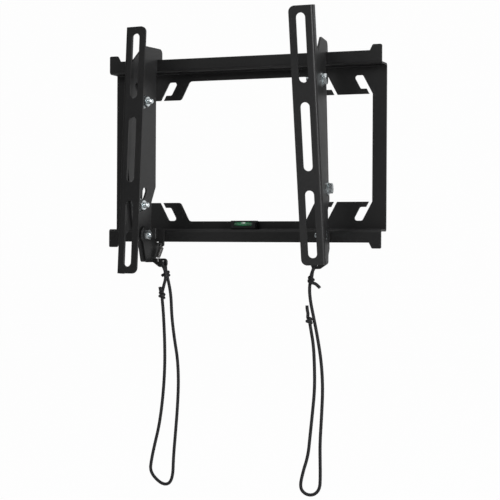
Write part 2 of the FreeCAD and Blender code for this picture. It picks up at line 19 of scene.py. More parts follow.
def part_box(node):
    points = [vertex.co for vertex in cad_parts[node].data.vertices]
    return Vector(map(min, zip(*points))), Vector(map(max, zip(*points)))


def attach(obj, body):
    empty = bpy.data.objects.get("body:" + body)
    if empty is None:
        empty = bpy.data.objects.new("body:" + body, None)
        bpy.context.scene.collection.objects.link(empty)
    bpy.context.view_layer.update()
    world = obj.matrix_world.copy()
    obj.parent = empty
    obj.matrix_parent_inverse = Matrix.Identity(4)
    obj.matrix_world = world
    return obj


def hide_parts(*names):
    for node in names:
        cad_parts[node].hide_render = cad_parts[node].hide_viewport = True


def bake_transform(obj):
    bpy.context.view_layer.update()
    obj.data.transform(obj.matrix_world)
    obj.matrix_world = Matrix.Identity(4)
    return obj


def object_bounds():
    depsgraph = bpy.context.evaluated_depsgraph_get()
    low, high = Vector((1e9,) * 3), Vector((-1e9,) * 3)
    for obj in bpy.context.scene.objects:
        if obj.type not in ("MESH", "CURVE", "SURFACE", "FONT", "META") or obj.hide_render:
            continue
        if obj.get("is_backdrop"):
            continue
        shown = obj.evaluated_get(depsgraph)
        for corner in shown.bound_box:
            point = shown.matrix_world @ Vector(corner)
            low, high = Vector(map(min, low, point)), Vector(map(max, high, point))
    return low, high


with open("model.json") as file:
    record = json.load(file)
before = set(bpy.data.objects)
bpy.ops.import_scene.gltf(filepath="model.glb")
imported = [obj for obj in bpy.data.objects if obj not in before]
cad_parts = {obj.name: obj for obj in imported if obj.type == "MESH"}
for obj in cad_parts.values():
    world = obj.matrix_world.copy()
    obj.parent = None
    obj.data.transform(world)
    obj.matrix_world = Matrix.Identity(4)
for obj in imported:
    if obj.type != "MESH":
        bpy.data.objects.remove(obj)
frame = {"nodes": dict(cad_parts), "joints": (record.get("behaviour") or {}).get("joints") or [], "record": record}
nodes = frame["nodes"]
cad_low, cad_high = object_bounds()
scene = bpy.context.scene
scene.view_settings.view_transform = "Standard"
print("solids", len(nodes), "box", [round(x, 4) for x in cad_high - cad_low])

# %% [markdown]
# ## The camera
#
# The picture was taken from the right and a little below the middle of the plate, with a long
# lens, so that the two brackets stay nearly upright and the rails run slightly downhill to the
# right. A camera can be turned with angles, but a matrix of its three own directions is easier
# to check: right, up and backwards are its columns.

# %% Camera
eye = Vector((0.5670, -1.4068, -0.0972))
yaw, pitch, roll = 0.381, -0.004, 0.005

ahead = Vector((-math.sin(yaw) * math.cos(pitch), math.cos(yaw) * math.cos(pitch), math.sin(pitch)))
level_right = Vector((math.cos(yaw), math.sin(yaw), 0))
level_up = level_right.cross(ahead)
right = level_right * math.cos(roll) + level_up * math.sin(roll)
up = right.cross(ahead)

camera_data = bpy.data.cameras.new("camera")
camera_data.lens = 105.4
camera_data.sensor_width = 36.0
camera = bpy.data.objects.new("camera", camera_data)
scene.collection.objects.link(camera)
camera.matrix_world = Matrix.Translation(eye) @ Matrix((right, up, -ahead)).transposed().to_4x4()
scene.camera = camera
print("camera looks along", [round(x, 3) for x in ahead])

# %% [markdown]
# ## Wires and graphs
#
# Every finish and every growing shape below is a tree of nodes. A tree is tedious to wire by
# hand, so one small class stands for an output socket and turns Python arithmetic into Math
# nodes, and one method adds any other node: its type, its settings first, and then what goes
# into its sockets. The same two classes serve shaders and Geometry Nodes.


# %% Wires
class Wire:
    """An output socket. Arithmetic on it adds Math nodes to its tree."""

    def __init__(self, graph, socket):
        self.graph = graph
        self.socket = socket

    def maths(self, operation, *values):
        return self.graph.node("ShaderNodeMath", {"operation": operation}, dict(enumerate(values)))

    def __add__(self, other):
        return self.maths("ADD", self, other)

    def __sub__(self, other):
        return self.maths("SUBTRACT", self, other)

    def __rsub__(self, other):
        return self.maths("SUBTRACT", other, self)

    def __mul__(self, other):
        return self.maths("MULTIPLY", self, other)

    def __truediv__(self, other):
        return self.maths("DIVIDE", self, other)

    def __rtruediv__(self, other):
        return self.maths("DIVIDE", other, self)

    __radd__ = __add__
    __rmul__ = __mul__

    def sine(self):
        return self.maths("SINE", self)

    def cosine(self):
        return self.maths("COSINE", self)

    def ramp(self, low, high):
        """0 below low and 1 above high, with a soft step in between."""
        return self.graph.node("ShaderNodeMapRange", {"interpolation_type": "SMOOTHSTEP"},
                               {0: self, 1: low, 2: high})


print("a wire can do", [name for name in vars(Wire) if not name.startswith("_")])


# %% Graphs
class Graph:
    """A node tree that is being built."""

    def __init__(self, tree):
        self.tree = tree

    def plug(self, socket, value):
        if isinstance(value, Wire):
            self.tree.links.new(value.socket, socket)
        else:
            socket.default_value = value

    def node(self, kind, settings=None, sockets=None, out=0):
        made = self.tree.nodes.new(kind)
        for key, value in (settings or {}).items():
            setattr(made, key, value)
        for key, value in (sockets or {}).items():
            self.plug(made.inputs[key], value)
        return Wire(self, made.outputs[out])

    def colours(self, share, first, second):
        """A mix of two colours."""
        return self.node("ShaderNodeMix", {"data_type": "RGBA"},
                         {0: share, 6: first, 7: second}, out=2)

    def vectors(self, operation, first, second):
        """Vector maths. What SCALE multiplies by is a number, in a socket of its own."""
        second_socket = "Scale" if operation == "SCALE" else 1
        return self.node("ShaderNodeVectorMath", {"operation": operation},
                         {0: first, second_socket: second})


print("a graph can do", [name for name in vars(Graph) if not name.startswith("_")])

# %% [markdown]
# ## A finish
#
# A finish is a graph with one principled shader, which already knows how paint, metal and plastic
# reflect. What is the same all over a surface is set on the shader's own sockets, and only what
# varies is wired in. Noise could be stretched over a piece by its bounding box, but on Object
# coordinates it has a real size in metres and moves with the piece.


# %% Finishes
class Finish(Graph):
    """A material with one principled shader. Constants are set on the shader's own sockets."""

    def __init__(self, name, **constants):
        self.material = bpy.data.materials.new(name)
        self.material.use_nodes = True
        super().__init__(self.material.node_tree)
        self.shader = self.tree.nodes["Principled BSDF"]
        for key, value in constants.items():
            self.shader.inputs[key.replace("_", " ")].default_value = value

    def feed(self, socket, value):
        self.plug(self.shader.inputs[socket], value)

    def place(self):
        """Object coordinates: metres in the mount's own frame."""
        return self.node("ShaderNodeTexCoord", out=3)

    def noise(self, size, detail):
        """Cloudy noise whose features are about that many metres across."""
        return self.node("ShaderNodeTexNoise", None,
                         {"Vector": self.place(), "Scale": 1.0 / size, "Detail": detail})

    def relief(self, height, depth, strength):
        self.feed("Normal", self.node("ShaderNodeBump", None, {
            "Strength": strength, "Distance": depth, "Height": height}))


print("a finish can also do", [name for name in vars(Finish) if not name.startswith("_")])

# %% [markdown]
# ## A pale studio
#
# The mount hangs in front of plain white. One sheet makes the floor and the backdrop, swept
# round in between so that no corner shows. Its paint is pale and takes the shadow; for the rays
# that come from the camera, most of it is an even white glow, so the background stays white
# without pouring more light on black paint. Rays off metal and glossy paint see a share of that
# glow. The sheet ends not far to the sides, and the dark beyond it draws a line along each fold.

# %% Studio sheet
floor_z = cad_low.z - 0.02
sheet_front, sheet_bend, sheet_top = -5.0, 1.6, 5.0
sheet_half_width = 2.4
sweep_radius = 0.8
sweep_steps = 12

sheet_profile = [(sheet_front, floor_z), (sheet_bend, floor_z)]
for step in range(1, sweep_steps + 1):
    turn = math.radians(90) * step / sweep_steps
    sheet_profile.append((sheet_bend + sweep_radius * math.sin(turn),
                          floor_z + sweep_radius * (1 - math.cos(turn))))
sheet_profile.append((sheet_bend + sweep_radius, sheet_top))

sheet_points = [(x, y, z) for y, z in sheet_profile for x in (-sheet_half_width, sheet_half_width)]
sheet_faces = [(2 * i, 2 * i + 1, 2 * i + 3, 2 * i + 2) for i in range(len(sheet_profile) - 1)]
sheet_mesh = bpy.data.meshes.new("studio_sheet")
sheet_mesh.from_pydata(sheet_points, [], sheet_faces)
studio_sheet = bpy.data.objects.new("studio_sheet", sheet_mesh)
scene.collection.objects.link(studio_sheet)
studio_sheet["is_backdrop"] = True
print("studio sheet", len(sheet_faces), "faces, floor at", round(floor_z, 3))

# %% Sheet paint
WHITE = (1, 1, 1, 1)
PAPER = (0.8, 0.8, 0.8, 1)
GLOW_SHARE = 0.98
MIRRORED_SHARE = 0.05


def seen_directly(graph, mirrored=0.0):
    """1 for rays from the camera, also through glass; the mirrored share for rays off a gloss."""
    light_path = graph.tree.nodes.new("ShaderNodeLightPath")
    kinds = ("Is Camera Ray", "Is Transmission Ray", "Is Glossy Ray")
    straight, through, gloss = (Wire(graph, light_path.outputs[kind]) for kind in kinds)
    either = straight.maths("MAXIMUM", straight, through)
    return straight.maths("MAXIMUM", either, gloss * mirrored)


sheet_paint = Finish("studio_paper", Base_Color=PAPER, Roughness=0.9, Specular_IOR_Level=0.0)
glow = sheet_paint.node("ShaderNodeEmission", None, {"Color": WHITE, "Strength": 1.0})
painted = Wire(sheet_paint, sheet_paint.shader.outputs[0])
glow_part = seen_directly(sheet_paint, MIRRORED_SHARE) * GLOW_SHARE
surface = sheet_paint.node("ShaderNodeMixShader", None, {0: glow_part, 1: painted, 2: glow})
sheet_paint.plug(sheet_paint.tree.nodes["Material Output"].inputs["Surface"], surface)
sheet_mesh.materials.append(sheet_paint.material)
print("sheet paint", len(sheet_paint.tree.nodes), "nodes")

# %% [markdown]
# ## Soft light
#
# Black paint shows its shape by what it reflects. A tall, narrow lamp from the right draws the
# thin bright line on each rounded fold, a lamp from above finds the ledges of the rails, one from
# behind on the right glances off the left arm and lights the zinc nuts, a weak one fills the front,
# and the world adds an even, dim light so that no side is lost.

# %% World
DIM_LIGHT = 0.11
SEEN_WHITE = 0.985
world = bpy.data.worlds.new("studio")
scene.world = world
world.use_nodes = True
sky = Graph(world.node_tree)
background = world.node_tree.nodes["Background"]
background.inputs["Color"].default_value = WHITE
sky_strength = seen_directly(sky) * (SEEN_WHITE - DIM_LIGHT) + DIM_LIGHT
sky.plug(background.inputs["Strength"], sky_strength)
print("world lights with", DIM_LIGHT, "and is seen as", SEEN_WHITE)


# %% Lamps
def soft_lamp(name, place, aim, size, watts):
    lamp = bpy.data.lights.new(name, "AREA")
    lamp.shape = "RECTANGLE"
    lamp.size, lamp.size_y = size
    lamp.energy = watts
    lamp_object = bpy.data.objects.new(name, lamp)
    scene.collection.objects.link(lamp_object)
    lamp_object.location = place
    lamp_object.rotation_euler = (Vector(aim) - Vector(place)).to_track_quat("-Z", "Y").to_euler()
    return lamp_object


lamps = [
    soft_lamp("right_lamp", (1.6, -1.05, 0.4), (0, 0, 0), (0.4, 1.2), 22),
    soft_lamp("front_lamp", (-0.6, -2.2, 1.1), (0, 0, -0.05), (1.0, 1.0), 5),
    soft_lamp("top_lamp", (0.1, -0.3, 1.7), (0, -0.05, 0), (1.4, 0.8), 8),
    soft_lamp("glance_lamp", (1.1, 1.5, 0.2), (0, 0, 0), (0.6, 1.4), 2),
]
print("lamps", [lamp.name for lamp in lamps])

# %% [markdown]
# ## Black powder coat
#
# The plate, arms, brackets and latches are sprayed with black powder that melts into a skin with
# a fine orange-peel texture. A flat black would look like a hole in the picture. Here one noise of
# about a millimetre gives the peel, a broad one makes the gloss uneven, as on real sheet metal, a
# fine one adds specks, and the colour stays a little above black.

# %% Powder coat
MM = 0.001
PEEL, CLOUD, SPECK = 1.1 * MM, 30 * MM, 0.4 * MM
PEEL_DEPTH = 0.06 * MM


def powder_coat(name, shade, roughness):
    """Black paint: shade is how far it is above black, roughness the middle of its range."""
    paint = Finish(name, Specular_IOR_Level=0.5)
    peel = paint.noise(PEEL, 3.0)
    cloud = paint.noise(CLOUD, 3.0)
    speck = paint.noise(SPECK, 1.0).ramp(0.62, 0.75)
    dark = (shade * 0.85, shade * 0.86, shade * 0.88, 1)
    light = (shade * 1.25, shade * 1.25, shade * 1.27, 1)
    paint.feed("Base Color", paint.colours(cloud * 0.7 + speck * 0.3, dark, light))
    paint.feed("Roughness", cloud * 0.14 + peel * 0.06 + (roughness - 0.1))
    paint.relief(peel, PEEL_DEPTH, 0.5)
    return paint.material


# The four coats are one black powder. Their shades differ as painted light and shade: the arms are set lighter, as
# painted light, and the latches darker, as painted shade, because they sit in shade.
coats = {
    "plate_paint": (0.011, 0.44),
    "arm_paint": (0.022, 0.40),
    "bracket_paint": (0.018, 0.38),
    "latch_paint": (0.009, 0.42),
}
finishes = {name: powder_coat(name, *values) for name, values in coats.items()}
print("powder coats", sorted(finishes))

# %% [markdown]
# ## Zinc, spring wire and plastic
#
# The bolts and nuts are plated with bright, slightly blue zinc, which has small dull patches and a
# fine grain. The springs are drawn wire, darker and less smooth. The level's case is moulded black
# plastic with an even, smoother gloss than the paint.

# %% Metals
PATCH, GRAIN = 2.2 * MM, 0.3 * MM
FINE_DEPTH = 0.02 * MM
DULL_SHARE = 0.82


def plated(name, colour, low, high):
    """Metal with dull patches, whose roughness goes from about low to about high."""
    metal = Finish(name, Metallic=1.0)
    patch = metal.noise(PATCH, 3.0)
    grain = metal.noise(GRAIN, 2.0)
    dull = tuple(channel * DULL_SHARE for channel in colour)
    metal.feed("Base Color", metal.colours(patch.ramp(0.35, 0.7), (*dull, 1), (*colour, 1)))
    metal.feed("Roughness", patch * (high - low) + grain * 0.06 + low)
    metal.relief(grain, FINE_DEPTH, 0.3)
    return metal.material


finishes["zinc"] = plated("zinc", (0.84, 0.90, 0.92), 0.14, 0.32)
finishes["spring_wire"] = plated("spring_wire", (0.28, 0.275, 0.27), 0.32, 0.46)
print("metals", [finishes[name].name for name in ("zinc", "spring_wire")])

# %% Plastic
MOULD = 0.7 * MM
case_dark, case_light = (0.010, 0.010, 0.011, 1), (0.016, 0.016, 0.017, 1)
case_plastic = Finish("level_body", Specular_IOR_Level=0.5)
mould = case_plastic.noise(MOULD, 2.0)
case_plastic.feed("Base Color", case_plastic.colours(mould, case_dark, case_light))
case_plastic.feed("Roughness", mould * 0.12 + 0.28)
case_plastic.relief(mould, FINE_DEPTH, 0.4)
finishes["level_body"] = case_plastic.material
print("finishes", sorted(finishes))

# %% [markdown]
# ## Painting the solids
#
# The sheet-metal solids already have the right shape, so they stay and only change their paint.
# The packed record says which finish each solid takes.

# %% Paint the solids
slot_of = {row["node"]: row["material_slot"] for row in frame["record"]["subparts"]}
for name, solid in nodes.items():
    if slot_of[name] in finishes:
        solid.data.materials.clear()
        solid.data.materials.append(finishes[slot_of[name]])
print("painted", sum(slot in finishes for slot in slot_of.values()), "of", len(nodes), "solids")

# %% [markdown]
# ## Where the pull cords run
#
# Each latch is opened by a black cord, 3.4 mm thick, that goes through the latch's eye and hangs
# in one long loop. A path of straight lines would look like bent wire. So the points of the solid
# cord, some of them moved by a few millimetres to follow the picture, steer a NURBS curve, which
# is much nearer to a limp cord. The curve has no thickness: the points read from it are the line
# that the braid will follow.

# %% Cord routes
left_route = [
    (-82.0, -31.5, -149.0), (-80.0, -32.0, -141.0), (-77.2, -32.6, -133.0),
    (-78.0, -32.6, -124.5), (-82.9, -31.8, -117.0), (-81.9, -23.5, -117.0),
    (-82.0, -22.6, -125.0), (-78.6, -24.2, -134.0), (-73.8, -27.0, -150.0),
    (-71.5, -30.0, -172.0), (-68.0, -30.5, -196.0), (-64.5, -30.0, -216.0),
    (-63.5, -29.5, -240.0), (-64.5, -30.0, -268.0), (-66.5, -30.5, -295.0),
    (-68.8, -30.0, -319.0), (-69.2, -30.0, -337.0), (-73.4, -30.0, -346.5),
    (-83.0, -30.0, -346.5), (-95.6, -30.0, -335.0), (-93.8, -30.0, -321.5),
    (-89.8, -30.5, -305.0), (-85.0, -31.0, -287.0), (-82.0, -30.5, -266.0),
    (-80.0, -30.0, -243.0), (-79.2, -29.5, -220.0), (-79.4, -30.0, -197.0),
    (-80.2, -30.5, -178.0), (-81.0, -31.0, -163.0), (-82.0, -31.5, -152.6),
]
right_route = [
    (83.0, -33.3, -131.8), (83.4, -33.4, -124.8), (85.9, -32.3, -117.3),
    (84.7, -24.0, -117.3), (79.6, -23.6, -124.8), (79.4, -26.0, -132.2),
    (79.0, -28.9, -141.0), (80.7, -30.3, -154.0), (84.6, -30.5, -171.0),
    (89.2, -30.5, -193.0), (92.7, -30.0, -216.0), (94.0, -29.5, -241.0),
    (93.0, -30.0, -268.0), (91.6, -30.5, -295.0), (91.8, -30.0, -316.0),
    (92.0, -30.0, -329.0), (91.5, -30.0, -340.5), (85.4, -30.0, -347.0),
    (76.6, -30.0, -347.0), (70.3, -30.0, -340.5), (73.5, -30.0, -325.0),
    (79.0, -30.0, -308.0), (81.0, -30.0, -288.0), (83.6, -30.5, -265.0),
    (86.0, -31.0, -241.0), (85.6, -31.0, -217.0), (84.4, -31.0, -197.0),
    (82.4, -32.6, -183.0), (81.4, -34.6, -173.5),
]
print("route points, left", len(left_route), "right", len(right_route))


# %% Cord lines
def smooth_line(name, points):
    """The NURBS curve steered by these points in metres, as a chain of mesh edges."""
    curve = bpy.data.curves.new(name, "CURVE")
    curve.dimensions = "3D"
    curve.resolution_u = 16
    spline = curve.splines.new("NURBS")
    spline.points.add(len(points) - 1)
    for control, point in zip(spline.points, points):
        control.co = (*point, 1)
    spline.order_u = 3
    spline.use_endpoint_u = True
    holder = bpy.data.objects.new(name, curve)
    scene.collection.objects.link(holder)
    depsgraph = bpy.context.evaluated_depsgraph_get()
    line = bpy.data.meshes.new_from_object(holder.evaluated_get(depsgraph), depsgraph=depsgraph)
    bpy.data.objects.remove(holder)
    bpy.data.curves.remove(curve)
    return line


def line_length(line):
    places = [vertex.co for vertex in line.vertices]
    return sum((b - a).length for a, b in zip(places, places[1:]))


cord_lines = {}
for side, route in (("left", left_route), ("right", right_route)):
    cord_lines[side] = smooth_line(side + "_cord_line", [Vector(point) * MM for point in route])
    print(side, "cord length", round(line_length(cord_lines[side]), 4))

# %% [markdown]
# ## Recipes
#
# Cords, knots, springs and threads grow from Geometry Nodes. A tree is a recipe: it has named
# inputs for its sizes, it ends by making its copies real and giving them a finish, and it runs as
# a modifier, whose inputs are set by the sockets' identifiers. It could stay live, but a plain mesh
# is what the rest of the work needs, so the result is kept and the modifier is removed.


# %% Recipes
def start_recipe(name, sizes):
    """An empty Geometry Nodes tree with named inputs; returns its graph and its input wires."""
    tree = bpy.data.node_groups.new(name, "GeometryNodeTree")
    tree.interface.new_socket("Geometry", in_out="INPUT", socket_type="NodeSocketGeometry")
    tree.interface.new_socket("Geometry", in_out="OUTPUT", socket_type="NodeSocketGeometry")
    for label, kind in sizes.items():
        tree.interface.new_socket(label, in_out="INPUT", socket_type="NodeSocket" + kind)
    graph = Graph(tree)
    entry = tree.nodes.new("NodeGroupInput")
    return graph, {socket.name: Wire(graph, socket) for socket in entry.outputs if socket.name}


def end_recipe(graph, shape, finish):
    """Realizes the instances, sets the material and closes the tree."""
    realized = graph.node("GeometryNodeRealizeInstances", None, {0: shape})
    coated = graph.node("GeometryNodeSetMaterial", None, {0: realized, "Material": finish})
    leave = graph.tree.nodes.new("NodeGroupOutput")
    graph.plug(leave.inputs[0], coated)
    print("recipe", graph.tree.name, "has", len(graph.tree.nodes), "nodes")
    return graph.tree


def run_recipe(recipe, carrier_mesh, name, **sizes):
    """Runs a tree on a carrier mesh and keeps the result as a plain mesh object."""
    piece = bpy.data.objects.new(name, carrier_mesh)
    scene.collection.objects.link(piece)
    modifier = piece.modifiers.new("recipe", "NODES")
    modifier.node_group = recipe
    for item in recipe.interface.items_tree:
        if item.in_out == "INPUT" and item.name in sizes:
            modifier[item.identifier] = sizes[item.name]
    depsgraph = bpy.context.evaluated_depsgraph_get()
    result = bpy.data.meshes.new_from_object(piece.evaluated_get(depsgraph), depsgraph=depsgraph)
    piece.modifiers.remove(modifier)
    piece.data = result
    result.name = name
    return piece


print("recipes can be started, ended and run")

# %% [markdown]
# ## A braid by Geometry Nodes
#
# The cord is a sleeve of eight flat yarns braided over a core: four wind to the right and four to
# the left, and each goes over one and under the next. A texture could only pretend that. The tree
# copies the line eight times, pushes each copy out to the sleeve along a helix, lets the radius
# rise and fall where yarns cross, and sweeps a flat profile along it. The sizes are named inputs,
# so the same tree also braids the short cord in the knots.

# %% Braid tree
YARNS = 8
YARN_SIDES = 6
CORE_SIDES = 10
graph, size = start_recipe("braid", {
    "Diameter": "Float", "Lay": "Float", "Yarn Width": "Float", "Yarn Thickness": "Float",
    "Step": "Float", "Finish": "Material",
})

# One line for each yarn, with its number.
line = graph.node("GeometryNodeMeshToCurve", None, {0: size["Geometry"]})
line = graph.node("GeometryNodeResampleCurve", {"mode": "LENGTH"},
                  {0: line, "Length": size["Step"]})
copies = graph.tree.nodes.new("GeometryNodeDuplicateElements")
copies.domain = "SPLINE"
graph.plug(copies.inputs["Geometry"], line)
graph.plug(copies.inputs["Amount"], YARNS)
yarn_line, yarn_index = (Wire(graph, socket) for socket in copies.outputs)

# Where the yarn is: its angle round the core and its distance from the line.
along = graph.node("GeometryNodeSplineParameter", out=1)
tangent = graph.node("GeometryNodeInputTangent")
normal = graph.node("GeometryNodeInputNormal")
across = graph.vectors("CROSS_PRODUCT", tangent, normal)
pair = yarn_index.maths("FLOOR", yarn_index / 2)
hand = yarn_index.maths("MODULO", yarn_index, 2.0) * 2 - 1
turn = along / size["Lay"] * (2 * math.pi)
angle = turn * hand + pair * (4 * math.pi / YARNS)
weave = (turn * (YARNS / 2)).cosine() * hand
middle_radius = size["Diameter"] / 2 - size["Yarn Thickness"]
radius = middle_radius + weave * size["Yarn Thickness"] * 0.5
outward = graph.vectors("ADD", graph.vectors("SCALE", normal, angle.cosine()),
                        graph.vectors("SCALE", across, angle.sine()))

# Both are captured first, because moving a line changes its normals.
fixed = graph.node("GeometryNodeCaptureAttribute", None, {0: yarn_line})
capture = fixed.socket.node
capture.domain = "POINT"
capture.capture_items.new("VECTOR", "outward")
capture.capture_items.new("FLOAT", "radius")
graph.plug(capture.inputs[1], outward)
graph.plug(capture.inputs[2], radius)
kept_outward = Wire(graph, capture.outputs[1])
kept_radius = Wire(graph, capture.outputs[2])
moved = graph.node("GeometryNodeSetPosition", None,
                   {0: fixed, "Offset": graph.vectors("SCALE", kept_outward, kept_radius)})
turned = graph.node("GeometryNodeSetCurveNormal", {"mode": "FREE"},
                    {0: moved, "Normal": kept_outward})
named = graph.node("GeometryNodeStoreNamedAttribute", {"data_type": "FLOAT", "domain": "CURVE"},
                   {0: turned, "Name": "yarn", "Value": yarn_index / YARNS})

# The flat profile is a circle of diameter 1, scaled to the yarn.
flat_circle = graph.node("GeometryNodeCurvePrimitiveCircle", {"mode": "RADIUS"},
                         {"Resolution": YARN_SIDES, "Radius": 0.5})
flat_scale = graph.node("ShaderNodeCombineXYZ", None,
                        {0: size["Yarn Thickness"], 1: size["Yarn Width"], 2: 1.0})
flat = graph.node("GeometryNodeTransform", None, {0: flat_circle, "Scale": flat_scale})
yarns = graph.node("GeometryNodeCurveToMesh", None, {0: named, 1: flat, "Fill Caps": True})
core_ring = graph.node("GeometryNodeCurvePrimitiveCircle", {"mode": "RADIUS"},
                       {"Resolution": CORE_SIDES, "Radius": middle_radius})
core = graph.node("GeometryNodeCurveToMesh", None, {0: line, 1: core_ring, "Fill Caps": True})
joined = graph.node("GeometryNodeJoinGeometry", None, {0: yarns})
graph.plug(joined.socket.node.inputs[0], core)
rounded = graph.node("GeometryNodeSetShadeSmooth", None, {0: joined})
braid = end_recipe(graph, rounded, size["Finish"])

# %% [markdown]
# ## Cord finish
#
# The yarns are black polyester: each one differs a little in shade, and fine fuzz breaks up the
# gloss. The shade reads the number that the tree stored on each yarn. A sine of many times that
# number gives each yarn a value of its own.

# %% Cord finish
FUZZ = 0.25 * MM
FUZZ_DEPTH = 0.08 * MM
YARN_SPREAD = 40.0
yarn_dark, yarn_light = (0.006, 0.006, 0.007, 1), (0.03, 0.03, 0.033, 1)
polyester = Finish("cord", Specular_IOR_Level=0.4, Sheen_Weight=0.15, Sheen_Roughness=0.4)
yarn_number = polyester.node("ShaderNodeAttribute", {"attribute_name": "yarn"}, out=2)
fuzz = polyester.noise(FUZZ, 3.0)
shade = (yarn_number * YARN_SPREAD).sine() * 0.25 + fuzz * 0.6 + 0.2
polyester.feed("Base Color", polyester.colours(shade, yarn_dark, yarn_light))
polyester.feed("Roughness", fuzz * 0.3 + 0.45)
polyester.relief(fuzz, FUZZ_DEPTH, 0.6)
finishes["cord"] = polyester.material
print("cord finish reads attribute yarn")

# %% [markdown]
# ## Tied knots
#
# The cord's ends are tied in overhand knots, pulled tight: the end goes round the standing cord
# one and a half times and then sticks out, cut short. Under the left eye a hitch binds the cord's
# two legs, and its end is tucked behind the front one. A lump of plastic would be wrong at once to
# anyone who has tied one. So each knot is real cord: a few points steer a NURBS curve round the
# axis and out along the tail, and the same braid tree runs along it.

# %% Knots
knots = {
    "left_eye_hitch": {"centre": (-80.7, -23.2, -128.5), "axis": (0.3, -0.2, -1.0),
                       "tail": (-0.5, -9.0, -1.5)},
    "left_loop_knot": {"centre": (-82.0, -31.5, -150.8), "axis": (0.1, -0.1, 1.0),
                       "tail": (-0.6, -3.6, 8.6)},
    "right_eye_knot": {"centre": (81.2, -29.6, -132.4), "axis": (0.2, -0.2, 1.0),
                       "tail": (8.8, 1.0, -8.0)},
    "right_loop_knot": {"centre": (80.9, -34.4, -173.0), "axis": (0.0, -0.1, 1.0),
                        "tail": (-1.6, -2.0, 15.0)},
}
WRAP_RADIUS = 2.2 * MM
WRAP_RISE = 0.42 * MM
WRAP_STEPS = 13
TAIL_BOW = 0.4 * MM


def knot_points(centre, axis, tail):
    """Steering points of one knot: the end's way round the axis, then out along the tail."""
    middle = Vector(centre) * MM
    axis = Vector(axis).normalized()
    tail = Vector(tail) * MM
    first = (tail - axis * tail.dot(axis)).normalized()
    second = axis.cross(first)
    lift = math.copysign(WRAP_RISE, tail.dot(axis))
    points = []
    for step in range(WRAP_STEPS):
        turn = math.radians(45) * (step - WRAP_STEPS)
        around = first * math.cos(turn) + second * math.sin(turn)
        points.append(middle + around * WRAP_RADIUS + axis * lift * (step - WRAP_STEPS // 2))
    points.append(middle + tail * 0.45)
    points.append(middle + tail * 0.75 + first * TAIL_BOW)
    points.append(middle + tail)
    return points


print("knots", list(knots))

# %% Tie the knots
CORD_DIAMETER = 3.4 * MM
cord_sizes = {
    "Diameter": CORD_DIAMETER, "Lay": 11 * MM, "Yarn Width": 1.5 * MM, "Yarn Thickness": 0.3 * MM,
    "Step": 0.5 * MM, "Finish": finishes["cord"],
}
knot_pieces = {"left": [], "right": []}
for name, shape in knots.items():
    side = name.split("_")[0]
    line = smooth_line(name + "_line", knot_points(**shape))
    knot = run_recipe(braid, line, name + "_tied", **cord_sizes)
    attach(knot, side + "_latch")
    if name in nodes:
        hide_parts(name)
    knot_pieces[side].append(knot)
    print(knot.name, len(knot.data.polygons), "faces")

# %% [markdown]
# ## The pull cords themselves
#
# Now the braid runs along the two long lines. Each cord moves with its latch, takes the place of
# the plain solid cord, and is declared as a limp hanging cord, so that whoever reuses the mount
# knows its real length and can let it swing. The knots go with it.

# %% Braid the cords
for side, line in cord_lines.items():
    cord = run_recipe(braid, line, side + "_pull_cord_braid", **cord_sizes)
    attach(cord, side + "_latch")
    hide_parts(side + "_pull_cord")
    print(cord.name, len(cord.data.polygons), "faces")

# %% [markdown]
# ## A coil by Geometry Nodes
#
# A close-wound spring and a screw thread are the same shape: a profile that climbs round an axis.
# One tree winds both. With many sides the profile is round wire; with four it is a sharp ridge, a
# thread. Wound once without climbing, it is a ring. The coil stands on the origin along Z and is
# moved to its place afterwards.

# %% Coil tree
POINTS_A_TURN = 28
graph, size = start_recipe("coil", {
    "Radius": "Float", "Height": "Float", "Turns": "Float", "Wire": "Float", "Sides": "Int",
    "Finish": "Material",
})
helix = graph.node("GeometryNodeCurveSpiral", None, {
    "Resolution": POINTS_A_TURN, "Rotations": size["Turns"], "Start Radius": size["Radius"],
    "End Radius": size["Radius"], "Height": size["Height"]})
upright = graph.node("GeometryNodeSetCurveNormal", {"mode": "Z_UP"}, {0: helix})
profile = graph.node("GeometryNodeCurvePrimitiveCircle", {"mode": "RADIUS"},
                     {"Resolution": size["Sides"], "Radius": size["Wire"]})
wound = graph.node("GeometryNodeCurveToMesh", None, {0: upright, 1: profile, "Fill Caps": True})
smooth_coil = graph.node("GeometryNodeSetShadeSmooth", None, {0: wound})
coil = end_recipe(graph, smooth_coil, size["Finish"])


def wind(radius, height, turns, wire, sides, finish):
    """The mesh of one coil; the object that carried it is thrown away."""
    carrier = run_recipe(coil, bpy.data.meshes.new("carrier"), "coil", Radius=radius,
                         Height=height, Turns=turns, Wire=wire, Sides=sides, Finish=finish)
    mesh = carrier.data
    bpy.data.objects.remove(carrier)
    return mesh


# %% [markdown]
# ## Putting parts together
#
# A spring or a bolt is several small meshes with one finish. They could be separate objects, but
# one piece is easier to move with its body. One function joins copies of the meshes at their
# places in a piece whose object stays at the origin, and another makes the matrix that stands a
# part, drawn along Z, on a point.


# %% Gather and stand
def gather(name, finish, parts):
    """One plain mesh object from (mesh, matrix) parts that share a finish."""
    whole = bmesh.new()
    for mesh, place in parts:
        moved_mesh = mesh.copy()
        moved_mesh.transform(place)
        whole.from_mesh(moved_mesh)
        bpy.data.meshes.remove(moved_mesh)
    mesh = bpy.data.meshes.new(name)
    whole.to_mesh(mesh)
    whole.free()
    mesh.materials.append(finish)
    piece = bpy.data.objects.new(name, mesh)
    scene.collection.objects.link(piece)
    print(name, len(mesh.polygons), "faces")
    return piece


def stand(origin, way, side_way):
    """Stands a part drawn along Z on origin, along way, with its X axis near side_way."""
    z = Vector(way).normalized()
    y = z.cross(Vector(side_way)).normalized()
    return Matrix.Translation(origin) @ Matrix((y.cross(z), y, z)).transposed().to_4x4()


print("parts can be stood and gathered")
